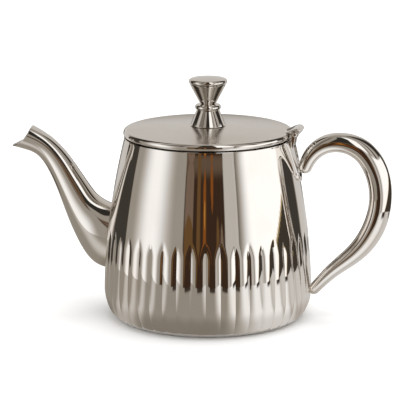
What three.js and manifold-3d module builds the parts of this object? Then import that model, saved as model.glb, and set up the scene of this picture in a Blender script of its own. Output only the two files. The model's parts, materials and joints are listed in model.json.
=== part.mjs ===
// A polished sheet-metal teapot: a tapered pot with pressed vertical lobes round its lower half,
// a swan-neck spout, a hollow handle, and a hinged lid with a turned hourglass knob.
// Millimetres, +Z up. The origin is on the pot's axis, in the plane that it stands on.
// The spout points along -X and the handle along +X.
import * as THREE from 'three';
import { mergeVertices } from 'three/addons/utils/BufferGeometryUtils.js';
import Module from 'manifold-3d';

const wasm = await Module();
wasm.setup();

// Driving dimensions
const sheet = 1.0; // thickness of the pot's, spout's, handle's and lid's sheet
const gap = 0.3; // clearance left between pieces that meet
const seam = 0.3; // open width of a welded seam between two half pressings

const pot = {
  flatRadius: 54.5, // where the flat underside turns up into the corner
  bellyRadius: 64.4, // widest radius, over the lobes' crests
  bellyHeight: 18, // height at which the corner ends
  mouthRadius: 51.3,
  height: 112.5, // top of the rim, without the lid
  taperPower: 1.75, // how the wall closes in towards the mouth
  baseSeat: 4.5, // width of the flat ring that the base disc is set in
};
const lobes = { count: 44, depth: 0.9, foot: 5, top: 58, fade: 10 };
// stiffening ring pressed into the base disc
const groove = { inset: 7, width: 4, depth: 0.8, slope: 1.5 };

const spout = {
  rootHeight: 47.5,
  aboveRim: 3.4, // how far the mouth's upper corner stands above the pot's rim
  holeInset: 2.5, // how much smaller the hole in the wall is than the spout's root
  ringSteps: 8,
  stepsPerStation: 2,
};
// the spout's upper and lower edges, as [run out from the wall, rise above the root], and its width
const spoutStations = [
  { upper: [-10.7, 18.5], lower: [-10.7, -19.5], width: 25 },
  { upper: [-3, 20.2], lower: [0.3, -20.5], width: 26 },
  { upper: [2.8, 22.6], lower: [9.3, -17], width: 25.5 },
  { upper: [7.8, 26.2], lower: [17.8, -6.2], width: 22.5 },
  { upper: [12.2, 31.8], lower: [24.8, 8.5], width: 19 },
  { upper: [19.8, 42.8], lower: [31.6, 26.5], width: 16 },
  { upper: [28.5, 54.2], lower: [38.8, 42.3], width: 14.2 },
  { upper: [37.6, 62.4], lower: [45.1, 50.1], width: 14 },
  { upper: [48.1, 68.4], lower: [52.7, 53.3], width: 15.8 },
  { upper: [58.3, 73], lower: [63.3, 55.8], width: 18.6 },
];
// the mouth is scooped out along an arc from its upper corner to its pouring lip
const spoutMouth = { upper: [48.1, 68.4], lip: [60.9, 55.2], scoop: 2.3 };
const strainer = { overlap: 2.2, thickness: 0.8, holeRadius: 1.2, pitch: 4.8, piercedShare: 0.85 };

const handle = {
  aboveStrapTip: 5.2, // how far the upper end stands above the hinge strap's tip
  lowerRoot: 15.8, // height of the lower end
  upperSet: 1.9, // how far out from what carries them the ends stand
  lowerSet: 0.2,
  reach: 46.8,
  endRound: 3.4, // length over which each end rounds off
  ringSteps: 6,
  stepsPerStation: 2,
};
// drop from the upper root to the lower one, reach out from the wall, thickness of the tube
const handleStations = [
  [0, 0, 7.6],
  [-0.14, 0.112, 9.7],
  [-0.235, 0.298, 11.2],
  [-0.26, 0.524, 12.2],
  [-0.21, 0.77, 13.6],
  [-0.06, 0.948, 14.6],
  [0.17, 1, 14],
  [0.42, 0.897, 13.8],
  [0.63, 0.658, 12],
  [0.8, 0.325, 9],
  [1, 0, 6.6],
];
const handleStud = { radius: 1.5, reach: 4.5, lift: 3.2 };

const lid = { overhang: 0.8, beadHeight: 4.5, beadDepth: 2.0, dome: 2.1 };
const lidFlange = { clearance: 1.7, depth: 10.5 }; // clearance is to the inside of the mouth

const hinge = {
  radius: 2.1, // outside of the barrels
  pinRadius: 1.0,
  halfLength: 8, // half the length of the three barrels together
  lidKnuckle: 6, // length of the lid's own barrel
  stand: 0.5, // clearance from the lid's bead to the barrels
  belowEdge: 0.8, // how far the axis lies below the lid's top edge
};
const strap = {
  topHalf: 14.6, // half widths at its top and near its tip
  tipHalf: 6.8,
  length: 26,
  web: 1.2, // thickness of the sheet and of its raised edge
  rib: 2.0,
  ribShare: 0.25, // share of the half width that the raised edge takes
  tipShare: 0.14, // share of the length over which the tip rounds off
  upstandLap: 3, // how far the barrels' upstand reaches down behind the rim
};
const lidLeaf = {
  rootHalf: 6.5,
  endHalf: 8.5,
  inboard: 11, // how far in from the lid's edge it starts
  ramp: 2.4, // length of the slope that lifts it over the barrels
  overhang: 3.9, // how far its end stands out past the hinge's axis
  hook: 1.3, // thickness of the turned-down end
  lip: 0.9, // height of the turned-down end's edge above the hinge's axis
  round: 2.0, // rounding of its corners
  thickness: 1.6,
  rootThickness: 0.8,
};

const knob = {
  footRadius: 10.8,
  neckRadius: 6.9,
  footHeight: 9.4,
  collarRadius: 8,
  collarHeight: 3.0,
  waistRadius: 4.8,
  flareRadius: 11.0,
  flareHeight: 12.3,
  capRadius: 11.8,
  capHeight: 4.1,
  capRim: 1.6, // radius of the cap's rounded rim
  footRim: 0.6, // height of the upright edge round the foot
};
const fastener = {
  studRadius: 2.0,
  chamfer: 0.4,
  tail: 0.8, // how far the screw stands out past its nut
  headRadius: 4.0,
  head: 2.0,
  washerRadius: 5.2,
  washer: 0.8,
  nutRadius: 4.4,
  nut: 3,
};

// Sizes that follow from those
const baseHoleRadius = pot.flatRadius - pot.baseSeat;
const lidRadius = pot.mouthRadius + lid.overhang;
const flangeRadius = pot.mouthRadius - sheet - lidFlange.clearance;
const strapTop = pot.height - gap;
const handleTop = strapTop - strap.length + handle.aboveStrapTip; // height of the handle's upper end
const barrelBore = hinge.pinRadius + gap;
const screwBore = fastener.studRadius + gap;
// the spout is drawn for the rise to its mouth's upper corner, and stretches with the pot
const spoutLift = (pot.height + spout.aboveRim - spout.rootHeight) / spoutMouth.upper[1];

const bigFacets = 48; // round pieces as wide as the pot
const smallFacets = 20; // knob and fasteners
const tinyFacets = 12; // hinge barrels
const holeFacets = 28; // oval hole behind the spout

// Materials: one polished alloy, with a duller finish where no polishing wheel reaches
const polished = () => new THREE.MeshStandardMaterial({ color: 0xcfc7bf, roughness: 0.06, metalness: 1 });
const brushed = () => new THREE.MeshStandardMaterial({ color: 0xb9b4ae, roughness: 0.35, metalness: 1 });

// Closes a geometry: shared corners are merged, slivers with no area dropped, faces turned outwards
function closed(geometry) {
  geometry.deleteAttribute('normal');
  geometry.deleteAttribute('uv');
  const merged = mergeVertices(geometry, 1e-5);
  const index = merged.index.array;
  const kept = [];
  for (let i = 0; i < index.length; i += 3) {
    const [a, b, c] = [index[i], index[i + 1], index[i + 2]];
    if (a !== b && b !== c && c !== a) kept.push(a, b, c);
  }
  merged.setIndex(signedVolume(merged, kept) < 0 ? kept.reverse() : kept);
  merged.computeVertexNormals();
  return merged;
}

function signedVolume(geometry, index) {
  const corner = (i) => new THREE.Vector3().fromBufferAttribute(geometry.attributes.position, i);
  let volume = 0;
  for (let i = 0; i < index.length; i += 3) {
    volume += corner(index[i]).dot(corner(index[i + 1]).cross(corner(index[i + 2])));
  }
  return volume;
}

function toSolid(geometry) {
  return new wasm.Manifold(
    new wasm.Mesh({
      numProp: 3,
      vertProperties: Float32Array.from(geometry.attributes.position.array),
      triVerts: Uint32Array.from(geometry.index.array),
    })
  );
}

function fromSolid(solid) {
  const mesh = solid.getMesh();
  const geometry = new THREE.BufferGeometry();
  geometry.setAttribute('position', new THREE.BufferAttribute(Float32Array.from(mesh.vertProperties), 3));
  geometry.setIndex(Array.from(mesh.triVerts));
  geometry.computeVertexNormals();
  return geometry;
}

// A turned piece from its outline of [radius, height] points, on the axis or closing on itself
function turned(outline, facets) {
  const points = outline.map(([radius, height]) => new THREE.Vector2(radius, height));
  if (outline[0][0] > 0) points.push(points[0].clone());
  return closed(new THREE.LatheGeometry(points, facets).rotateX(Math.PI / 2));
}

// A round bar along Y through (x, z), from y = low to y = high
function crossBar(radius, x, z, low, high, facets) {
  const bar = new THREE.CylinderGeometry(radius, radius, high - low, facets);
  return closed(bar.translate(x, (low + high) / 2, z));
}

// A round bar along X through height z, from x = low to x = high
function lengthwiseBar(radius, z, low, high, facets) {
  const bar = new THREE.CylinderGeometry(radius, radius, high - low, facets).rotateZ(Math.PI / 2);
  return closed(bar.translate((low + high) / 2, 0, z));
}

// A plate whose side view is a closed outline of [x, z] points, from y = low to y = high
function sidePlate(outline, low, high) {
  const shape = new THREE.Shape(outline.map(([x, z]) => new THREE.Vector2(x, z)));
  const plate = new THREE.ExtrudeGeometry(shape, { depth: high - low, bevelEnabled: false });
  return closed(plate.rotateX(Math.PI / 2).translate(0, high, 0));
}

// A plate whose plan view is a closed outline of [x, y] points, from z = low to z = high
function planPlate(outline, low, high) {
  const shape = new THREE.Shape(outline.map(([x, y]) => new THREE.Vector2(x, y)));
  const plate = new THREE.ExtrudeGeometry(shape, { depth: high - low, bevelEnabled: false });
  return closed(plate.translate(0, 0, low));
}

// The solid between two equal grids of points, closed all round its four edges
function slab(front, back) {
  const rows = front.length;
  const columns = front[0].length;
  const positions = [...front, ...back].flat().flatMap((point) => [point.x, point.y, point.z]);
  const at = (face, row, column) => (face * rows + row) * columns + column;
  const index = [];
  const quad = (a, b, c, d) => index.push(a, b, c, a, c, d);
  for (let r = 0; r + 1 < rows; r += 1) {
    for (let c = 0; c + 1 < columns; c += 1) {
      quad(at(0, r, c), at(0, r + 1, c), at(0, r + 1, c + 1), at(0, r, c + 1));
      quad(at(1, r, c), at(1, r, c + 1), at(1, r + 1, c + 1), at(1, r + 1, c));
    }
    quad(at(0, r + 1, 0), at(0, r, 0), at(1, r, 0), at(1, r + 1, 0));
    const last = columns - 1;
    quad(at(0, r, last), at(0, r + 1, last), at(1, r + 1, last), at(1, r, last));
  }
  for (let c = 0; c + 1 < columns; c += 1) {
    const last = rows - 1;
    quad(at(0, 0, c), at(0, 0, c + 1), at(1, 0, c + 1), at(1, 0, c));
    quad(at(0, last, c + 1), at(0, last, c), at(1, last, c), at(1, last, c + 1));
  }
  const geometry = new THREE.BufferGeometry();
  geometry.setAttribute('position', new THREE.Float32BufferAttribute(positions, 3));
  geometry.setIndex(index);
  return closed(geometry);
}

// The pot's outside: a quarter ellipse for the corner, then a wall that tapers to the mouth
function potRadius(height) {
  const z = THREE.MathUtils.clamp(height, 0, pot.height);
  if (z < pot.bellyHeight) {
    const down = (pot.bellyHeight - z) / pot.bellyHeight;
    return pot.flatRadius + (pot.bellyRadius - pot.flatRadius) * Math.sqrt(1 - down * down);
  }
  const up = (z - pot.bellyHeight) / (pot.height - pot.bellyHeight);
  return pot.bellyRadius - (pot.bellyRadius - pot.mouthRadius) * up ** pot.taperPower;
}

// How much of the lobes' depth is left at a height: they curl in at the foot and fade out on top
function lobeShare(height) {
  const foot = THREE.MathUtils.smoothstep(height, 0, lobes.foot);
  return foot * (1 - THREE.MathUtils.smoothstep(height, lobes.top - lobes.fade, lobes.top));
}

function steps(low, high, count) {
  return Array.from({ length: count }, (_, i) => low + ((high - low) * (i + 1)) / count);
}

// [radius, height] points up the outside of the pot
function potOutline() {
  const corner = steps(0, Math.PI / 2, 4).map((angle) => pot.bellyHeight * (1 - Math.cos(angle)));
  const heights = [
    0,
    ...corner,
    ...steps(pot.bellyHeight, lobes.top - lobes.fade, 2),
    ...steps(lobes.top - lobes.fade, lobes.top, 1),
    ...steps(lobes.top, pot.height, 3),
  ];
  return heights.map((height) => [potRadius(height), height]);
}

// The same line moved inwards by the sheet's thickness
function insideOf(outline) {
  return outline.map(([radius, height], i) => {
    if (i === 0) return [radius, height + sheet];
    if (i === outline.length - 1) return [radius - sheet, height];
    const [below, above] = [outline[i - 1], outline[i + 1]];
    const [run, rise] = [above[0] - below[0], above[1] - below[1]];
    const length = Math.hypot(run, rise);
    return [radius - (sheet * rise) / length, height + (sheet * run) / length];
  });
}

function potShell() {
  const outside = potOutline();
  const inside = insideOf(outside);
  const loop = [
    [baseHoleRadius, 0, 0],
    ...outside.map(([radius, height]) => [radius, height, lobeShare(height)]),
    ...inside.map(([radius, height], i) => [radius, height, lobeShare(outside[i][1])]).reverse(),
    [baseHoleRadius, sheet, 0],
  ];
  const facets = 2 * lobes.count;
  const positions = [];
  const index = [];
  for (let k = 0; k < facets; k += 1) {
    const angle = (k * 2 * Math.PI) / facets;
    const valley = k % 2 === 0 ? lobes.depth : 0;
    loop.forEach(([radius, height, share], i) => {
      const r = radius - valley * share;
      positions.push(r * Math.cos(angle), r * Math.sin(angle), height);
      const [k2, i2] = [(k + 1) % facets, (i + 1) % loop.length];
      const [a, b] = [k * loop.length + i, k2 * loop.length + i];
      const [c, d] = [k2 * loop.length + i2, k * loop.length + i2];
      index.push(a, b, c, a, c, d);
    });
  }
  const geometry = new THREE.BufferGeometry();
  geometry.setAttribute('position', new THREE.Float32BufferAttribute(positions, 3));
  geometry.setIndex(index);
  const hole = lengthwiseBar(1, 0, -2 * pot.bellyRadius, 0, holeFacets);
  const root = spoutRootHalves();
  hole.scale(1, root.width - spout.holeInset, root.height - spout.holeInset);
  hole.translate(0, 0, spout.rootHeight);
  return fromSolid(toSolid(closed(geometry)).subtract(toSolid(hole)));
}

// The pot's outer form, grown by the clearance, for cutting what stands against the wall
function potEnvelope() {
  const outline = potOutline().map(([radius, height]) => [radius + gap, height]);
  outline[0][1] = -gap;
  outline[outline.length - 1][1] = pot.height + sheet;
  return toSolid(turned([[0, -gap], ...outline, [0, pot.height + sheet]], 2 * lobes.count));
}

function baseDisc() {
  const { inset, width, depth, slope } = groove;
  const middle = baseHoleRadius - inset;
  const [inner, outer] = [middle - width / 2, middle + width / 2];
  const edge = baseHoleRadius - gap;
  return turned(
    [
      [0, 0],
      [inner - slope, 0],
      [inner, depth],
      [outer, depth],
      [outer + slope, 0],
      [edge, 0],
      [edge, sheet],
      [outer + slope, sheet],
      [outer, depth + sheet],
      [inner, depth + sheet],
      [inner - slope, sheet],
      [0, sheet],
    ],
    bigFacets
  );
}

// Half the height and half the width of the spout where it meets the wall
function spoutRootHalves() {
  const { upper, lower, width } = spoutStations[1];
  return { height: (spoutLift * (upper[1] - lower[1])) / 2, width: width / 2 };
}

// Half of a section's rim, from one side of the seam to the other; side is +1 or -1 along Y
function halfRim({ middle, across, halfHeight, halfWidth }, side, ringSteps) {
  return Array.from({ length: ringSteps + 1 }, (_, k) => {
    const angle = (Math.PI * k) / ringSteps;
    const point = middle.clone().addScaledVector(across, halfHeight * Math.cos(angle));
    point.y = side * (seam / 2 + halfWidth * Math.sin(angle));
    return point;
  });
}

// A place in the spout's own measure: run out from the wall, rise above the root
function spoutPoint([run, rise]) {
  return new THREE.Vector3(-potRadius(spout.rootHeight) - run, 0, spout.rootHeight + spoutLift * rise);
}

// Sections of the spout, each standing between its upper and lower edges
function spoutTube() {
  const upper = new THREE.CatmullRomCurve3(spoutStations.map((station) => spoutPoint(station.upper)));
  const lower = new THREE.CatmullRomCurve3(spoutStations.map((station) => spoutPoint(station.lower)));
  const widths = new THREE.CatmullRomCurve3(spoutStations.map(({ width }) => new THREE.Vector3(width, 0, 0)));
  return (t, inset) => {
    const [top, bottom] = [upper.getPoint(t), lower.getPoint(t)];
    return {
      middle: top.clone().add(bottom).multiplyScalar(0.5),
      across: top.clone().sub(bottom).normalize(),
      halfHeight: top.distanceTo(bottom) / 2 - inset,
      halfWidth: widths.getPoint(t).x / 2 - inset,
    };
  };
}

// The round bar whose side cuts the scooped mouth
function mouthCutter() {
  const [upper, lip] = [spoutPoint(spoutMouth.upper), spoutPoint(spoutMouth.lip)];
  const half = upper.distanceTo(lip) / 2;
  const radius = (half * half + spoutMouth.scoop ** 2) / (2 * spoutMouth.scoop);
  const out = new THREE.Vector3(lip.z - upper.z, 0, upper.x - lip.x).normalize();
  const centre = upper.clone().add(lip).multiplyScalar(0.5).addScaledVector(out, radius - spoutMouth.scoop);
  const reach = spoutStations.at(-1).width;
  return toSolid(crossBar(radius, centre.x, centre.z, -reach, reach, bigFacets));
}

function spoutHalf(side) {
  const tube = spoutTube();
  const count = (spoutStations.length - 1) * spout.stepsPerStation;
  const grid = (inset) =>
    Array.from({ length: count + 1 }, (_, i) => halfRim(tube(i / count, inset), side, spout.ringSteps));
  const half = toSolid(slab(grid(0), grid(sheet)));
  return fromSolid(half.subtract(potEnvelope()).subtract(mouthCutter()));
}

// A pierced oval plate behind the spout's hole, curved to the inside of the wall
function strainerPlate() {
  const root = spoutRootHalves();
  const [openHeight, openWidth] = [root.height - spout.holeInset, root.width - spout.holeInset];
  const [halfHeight, halfWidth] = [openHeight + strainer.overlap, openWidth + strainer.overlap];
  const [rowSteps, columnSteps] = [8, 4];
  const grid = (inset) =>
    Array.from({ length: rowSteps + 1 }, (_, i) => {
      const rise = -halfHeight * Math.cos((Math.PI * i) / rowSteps);
      const half = halfWidth * Math.sqrt(Math.max(0, 1 - (rise / halfHeight) ** 2));
      const radius = potRadius(spout.rootHeight + rise) - lobes.depth - sheet - gap - inset;
      return Array.from({ length: columnSteps + 1 }, (_, j) => {
        const angle = Math.PI - (half * ((2 * j) / columnSteps - 1)) / radius;
        const [x, y] = [radius * Math.cos(angle), radius * Math.sin(angle)];
        return new THREE.Vector3(x, y, spout.rootHeight + rise);
      });
    });
  let plate = toSolid(slab(grid(0), grid(strainer.thickness)));
  const rows = Math.floor(openHeight / strainer.pitch);
  const columns = Math.floor(openWidth / strainer.pitch);
  for (let row = -rows; row <= rows; row += 1) {
    for (let column = -columns; column <= columns; column += 1) {
      const [rise, across] = [row * strainer.pitch, (column + (row % 2) / 2) * strainer.pitch];
      const reach = Math.hypot(rise / openHeight, across / openWidth);
      if (reach < strainer.piercedShare) {
        const hole = lengthwiseBar(strainer.holeRadius, 0, -2 * pot.bellyRadius, 0, 6);
        plate = plate.subtract(toSolid(hole.translate(0, across, spout.rootHeight + rise)));
      }
    }
  }
  return fromSolid(plate);
}

// Where the handle's two ends stand: clear of the hinge strap above and of the lobes below
function handleRoots() {
  const upperWall = potRadius(handleTop) + gap + strap.web;
  const lowerWall = potRadius(handle.lowerRoot);
  return {
    upper: new THREE.Vector3(upperWall + gap + handle.upperSet, 0, handleTop),
    lower: new THREE.Vector3(lowerWall + gap + handle.lowerSet, 0, handle.lowerRoot),
    upperWall,
    lowerWall,
  };
}

// Sections of the handle at a distance along its middle line
function handleTube() {
  const { upper, lower } = handleRoots();
  const middle = new THREE.CatmullRomCurve3(
    handleStations.map(([drop, out]) =>
      upper.clone().lerp(lower, drop).add(new THREE.Vector3(out * handle.reach, 0, 0))
    )
  );
  const sizes = new THREE.CatmullRomCurve3(handleStations.map(([, , size]) => new THREE.Vector3(size, 0, 0)));
  const length = middle.getLength();
  const at = (distance, inset, squeeze) => {
    const t = middle.getUtoTmapping(distance / length);
    const along = middle.getTangent(t);
    const half = (sizes.getPoint(t).x / 2 - inset) * squeeze;
    return {
      middle: middle.getPoint(t),
      across: new THREE.Vector3(-along.z, 0, along.x),
      halfHeight: half,
      halfWidth: half,
    };
  };
  return { length, at };
}

// Stud that carries an end of the handle on the wall
function handleStudAt(wall, height) {
  return lengthwiseBar(handleStud.radius, height, wall + gap, wall + gap + handleStud.reach, tinyFacets);
}

function handleHalf(side) {
  const tube = handleTube();
  const { upperWall, lowerWall } = handleRoots();
  const round = handle.endRound;
  const count = (handleStations.length - 1) * handle.stepsPerStation;
  const ends = [0, ...steps(0, Math.PI / 2, 3).map((angle) => round * (1 - Math.cos(angle)))];
  const middles = steps(round, tube.length - round, count).slice(0, -1);
  const places = [...ends, ...middles, ...ends.map((distance) => tube.length - distance).reverse()];
  const grid = (inset) =>
    places.map((place) => {
      const fromEnd = Math.min(place, tube.length - place, round);
      const squeeze = Math.sqrt(1 - (1 - fromEnd / round) ** 2);
      const shift = inset * (1 - fromEnd / round) * (place < tube.length / 2 ? 1 : -1);
      return halfRim(tube.at(place + shift, inset, squeeze), side, handle.ringSteps);
    });
  const bore = (wall, height) => {
    const [low, high] = [wall - sheet, wall + handleStud.reach + 2 * sheet];
    return toSolid(lengthwiseBar(handleStud.radius + gap, height, low, high, tinyFacets));
  };
  const half = toSolid(slab(grid(0), grid(sheet)));
  return fromSolid(
    half
      .subtract(bore(upperWall, handleTop + handleStud.lift))
      .subtract(bore(lowerWall, handle.lowerRoot + handleStud.lift))
  );
}

// Heights of the lid's pieces
const lidUnder = pot.height + gap;
const lidEdge = lidUnder + lid.beadHeight;
const beadRound = lid.beadHeight / 2;
const domeRadius = lidRadius - lid.beadDepth;
const lidTop = (radius) => lidEdge + lid.dome * (1 - (radius / domeRadius) ** 2);

// The lid: a low dome whose edge is rolled into a bead
function lidShell() {
  const bead = steps(0, Math.PI, 5).map((angle) => [
    domeRadius + lid.beadDepth * Math.sin(angle),
    lidUnder + beadRound * (1 + Math.cos(angle)),
  ]);
  const inner = domeRadius - sheet;
  const top = [screwBore, domeRadius / 2].map((radius) => [radius, lidTop(radius)]);
  const under = [inner, domeRadius / 2, screwBore].map((radius) => [radius, lidTop(radius) - sheet]);
  return turned([...top, [domeRadius, lidEdge], ...bead, [inner, lidUnder], ...under], bigFacets);
}

// The ring under the lid that keeps it centred in the mouth
function flangeRing() {
  const [outer, inner] = [flangeRadius, flangeRadius - sheet];
  const top = lidTop(outer) - sheet - gap;
  const bottom = top - lidFlange.depth;
  return turned(
    [
      [inner, bottom],
      [outer - sheet / 3, bottom],
      [outer, bottom + sheet / 3],
      [outer, top],
      [inner, top],
    ],
    bigFacets
  );
}

// The hinge's axis stands just outside the lid's bead and as high as its upper half
const hingeX = lidRadius + hinge.stand + hinge.radius;
const hingeZ = lidEdge - hinge.belowEdge;

// A tongue of sheet on the wall with a raised edge, and two barrels on an upstand above it
function hingeStrap() {
  const [rowCount, columnCount] = [8, 8];
  const grid = (thick) =>
    Array.from({ length: rowCount + 1 }, (_, i) => {
      const down = Math.sin((Math.PI / 2) * (i / rowCount));
      const height = strapTop - strap.length * down;
      const taper = strap.topHalf + (strap.tipHalf - strap.topHalf) * down;
      const intoTip = Math.max(0, 1 - (1 - down) / strap.tipShare);
      const blunt = Math.sqrt(1 - intoTip ** 2);
      const base = potRadius(height) + gap;
      return Array.from({ length: columnCount + 1 }, (_, j) => {
        const across = (2 * j) / columnCount - 1;
        const edge = blunt * Math.max(0, 1 - (1 - Math.abs(across)) / strap.ribShare);
        const radius = base + (thick ? strap.web + (strap.rib - strap.web) * edge : 0);
        const angle = (across * taper * blunt) / base;
        return new THREE.Vector3(radius * Math.cos(angle), radius * Math.sin(angle), height);
      });
    });
  const inner = lidRadius + gap;
  const outer = inner + strap.web;
  const lapEnd = strapTop - strap.upstandLap;
  const upstand = sidePlate(
    [
      [potRadius(strapTop), lapEnd],
      [outer + (potRadius(lapEnd) - potRadius(strapTop)), lapEnd],
      [outer, strapTop],
      [outer, hingeZ],
      [inner, hingeZ],
      [inner, strapTop - strap.web],
    ],
    -hinge.halfLength,
    hinge.halfLength
  );
  const split = hinge.lidKnuckle / 2 + gap;
  let body = toSolid(slab(grid(true), grid(false)));
  body = body.add(toSolid(upstand).subtract(potEnvelope()));
  for (const [low, high] of [[-hinge.halfLength, -split], [split, hinge.halfLength]]) {
    body = body.add(toSolid(crossBar(hinge.radius, hingeX, hingeZ, low, high, tinyFacets)));
  }
  const room = crossBar(hinge.radius + 2 * gap, hingeX, hingeZ, -split, split, tinyFacets);
  const bore = crossBar(barrelBore, hingeX, hingeZ, -strap.topHalf, strap.topHalf, tinyFacets);
  return fromSolid(body.subtract(toSolid(room)).subtract(toSolid(bore)));
}

const hingePin = () =>
  crossBar(hinge.pinRadius, hingeX, hingeZ, -hinge.halfLength + gap, hinge.halfLength - gap, tinyFacets);

// The leaf on the lid arches over the barrels and carries the middle one
function lidHingeLeaf() {
  const { ramp, hook, lip, round, thickness, rootThickness, rootHalf, endHalf } = lidLeaf;
  const root = lidRadius - lidLeaf.inboard;
  const end = hingeX + lidLeaf.overhang;
  const crown = hingeZ + hinge.radius + gap; // underside over the barrels
  const top = crown + thickness;
  const rampFoot = lidRadius - gap - ramp;
  const rampHead = rampFoot + ramp;
  const under = [
    [root, lidTop(root) + gap],
    [rampFoot, lidTop(rampFoot) + gap],
    [rampHead, crown],
    [end - hook - gap, crown],
    [end - hook, hingeZ + lip],
  ];
  const over = [
    [end, hingeZ + lip],
    [end, crown],
    [end - hook / 2, top - hook / 3],
    [end - 2 * hook, top],
    [rampHead, top],
    [rampFoot, lidTop(rampFoot) + gap + thickness],
    [root, lidTop(root) + gap + rootThickness],
  ];
  const plan = [
    [root - gap, -rootHalf + round],
    [root + round / 2, -rootHalf],
    [hingeX, -endHalf],
    [end - round / 2, -endHalf + round / 3],
    [end + gap, -endHalf + round],
  ];
  const outline = [...plan, ...plan.map(([x, y]) => [x, -y]).reverse()];
  const half = hinge.lidKnuckle / 2;
  const hood = toSolid(sidePlate([...under, ...over], -endHalf, endHalf));
  const [neckBack, neckFront] = [hingeX - hinge.radius + gap / 2, hingeX + gap];
  const neck = sidePlate(
    [
      [neckBack, hingeZ],
      [neckFront, hingeZ],
      [neckFront, crown + gap],
      [neckBack, crown + gap],
    ],
    -half,
    half
  );
  const barrel = crossBar(hinge.radius, hingeX, hingeZ, -half, half, tinyFacets);
  const bore = crossBar(barrelBore, hingeX, hingeZ, -endHalf, endHalf, tinyFacets);
  const trimmed = hood.intersect(toSolid(planPlate(outline, hingeZ, top + gap)));
  return fromSolid(trimmed.add(toSolid(neck)).add(toSolid(barrel)).subtract(toSolid(bore)));
}

// The knob's pieces stand on the lid's middle, one on the other
const knobFoot = lidTop(0) + gap;
const collarFoot = knobFoot + knob.footHeight + gap;
const flareFoot = collarFoot + knob.collarHeight + gap;
const capFoot = flareFoot + knob.flareHeight + gap;

function knobBase() {
  const top = knobFoot + knob.footHeight;
  return turned(
    [
      [knob.footRadius - sheet, knobFoot],
      [knob.footRadius, knobFoot],
      [knob.footRadius, knobFoot + knob.footRim],
      [knob.neckRadius, top],
      [screwBore, top],
      [screwBore, top - sheet],
      [knob.neckRadius - sheet, top - sheet],
    ],
    smallFacets
  );
}

function knobCollar() {
  const half = knob.collarHeight / 2;
  const rim = steps(0, Math.PI, 4).slice(0, -1).map((angle) => [
    knob.collarRadius - half * (1 - Math.sin(angle)),
    collarFoot + half * (1 - Math.cos(angle)),
  ]);
  return turned(
    [
      [screwBore, collarFoot],
      [knob.collarRadius - half, collarFoot],
      ...rim,
      [knob.collarRadius - half, collarFoot + knob.collarHeight],
      [screwBore, collarFoot + knob.collarHeight],
    ],
    smallFacets
  );
}

function knobFlare() {
  const { waistRadius, flareRadius, flareHeight } = knob;
  const top = flareFoot + flareHeight;
  const floorRadius = THREE.MathUtils.lerp(waistRadius, flareRadius, sheet / flareHeight) - sheet;
  return turned(
    [
      [screwBore, flareFoot],
      [waistRadius, flareFoot],
      [flareRadius, top],
      [flareRadius - sheet, top],
      [floorRadius, flareFoot + sheet],
      [screwBore, flareFoot + sheet],
    ],
    smallFacets
  );
}

function knobCap() {
  const { capRadius, capHeight, capRim } = knob;
  const edge = capRadius - capRim;
  const rimTop = capFoot + 2 * capRim;
  const rise = capHeight - 2 * capRim;
  const domeAt = (radius) => [radius, rimTop + rise * (1 - (radius / edge) ** 2)];
  const rim = steps(0, Math.PI, 4).map((angle) => [
    edge + capRim * Math.sin(angle),
    capFoot + capRim * (1 - Math.cos(angle)),
  ]);
  const inner = edge - sheet / 2;
  return turned(
    [
      [0, capFoot + capHeight - sheet],
      [inner, rimTop - sheet],
      [inner, capFoot],
      [edge, capFoot],
      ...rim,
      domeAt(edge * 0.75),
      domeAt(edge * 0.4),
      domeAt(0),
    ],
    smallFacets
  );
}

// One screw holds the knob's pieces on the lid, with a washer and a nut inside the pot
const washerTop = lidTop(0) - sheet - gap;
const nutTop = washerTop - fastener.washer - gap;
const studFoot = nutTop - fastener.nut - fastener.tail;

function knobStud() {
  const headFoot = flareFoot + sheet + gap;
  return turned(
    [
      [0, studFoot],
      [fastener.studRadius - fastener.chamfer, studFoot],
      [fastener.studRadius, studFoot + fastener.chamfer],
      [fastener.studRadius, headFoot],
      [fastener.headRadius, headFoot],
      [fastener.headRadius, headFoot + fastener.head],
      [0, headFoot + fastener.head],
    ],
    smallFacets
  );
}

function knobWasher() {
  const bottom = washerTop - fastener.washer;
  return turned(
    [
      [screwBore, bottom],
      [fastener.washerRadius, bottom],
      [fastener.washerRadius, washerTop],
      [screwBore, washerTop],
    ],
    smallFacets
  );
}

function knobNut() {
  const upright = (radius, facets, extra) =>
    closed(
      new THREE.CylinderGeometry(radius, radius, fastener.nut + 2 * extra, facets)
        .rotateX(Math.PI / 2)
        .translate(0, 0, nutTop - fastener.nut / 2)
    );
  const bore = toSolid(upright(screwBore, smallFacets, gap));
  return fromSolid(toSolid(upright(fastener.nutRadius, 6, 0)).subtract(bore));
}

// Assembly
const teapot = new THREE.Group();

function addPiece(name, geometry, material) {
  const piece = new THREE.Mesh(geometry, material);
  piece.name = name;
  teapot.add(piece);
}

const { upperWall, lowerWall } = handleRoots();
addPiece('pot_shell', potShell(), polished());
addPiece('base_disc', baseDisc(), polished());
addPiece('spout_left_half', spoutHalf(-1), polished());
addPiece('spout_right_half', spoutHalf(1), polished());
addPiece('spout_strainer', strainerPlate(), brushed());
addPiece('handle_left_half', handleHalf(-1), polished());
addPiece('handle_right_half', handleHalf(1), polished());
addPiece('handle_upper_stud', handleStudAt(upperWall, handleTop + handleStud.lift), brushed());
addPiece('handle_lower_stud', handleStudAt(lowerWall, handle.lowerRoot + handleStud.lift), brushed());
addPiece('hinge_strap', hingeStrap(), polished());
addPiece('hinge_pin', hingePin(), polished());
addPiece('lid_shell', lidShell(), polished());
addPiece('lid_flange', flangeRing(), brushed());
addPiece('lid_hinge_leaf', lidHingeLeaf(), polished());
addPiece('knob_base', knobBase(), polished());
addPiece('knob_collar', knobCollar(), polished());
addPiece('knob_flare', knobFlare(), polished());
addPiece('knob_cap', knobCap(), polished());
addPiece('knob_screw', knobStud(), brushed());
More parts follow.
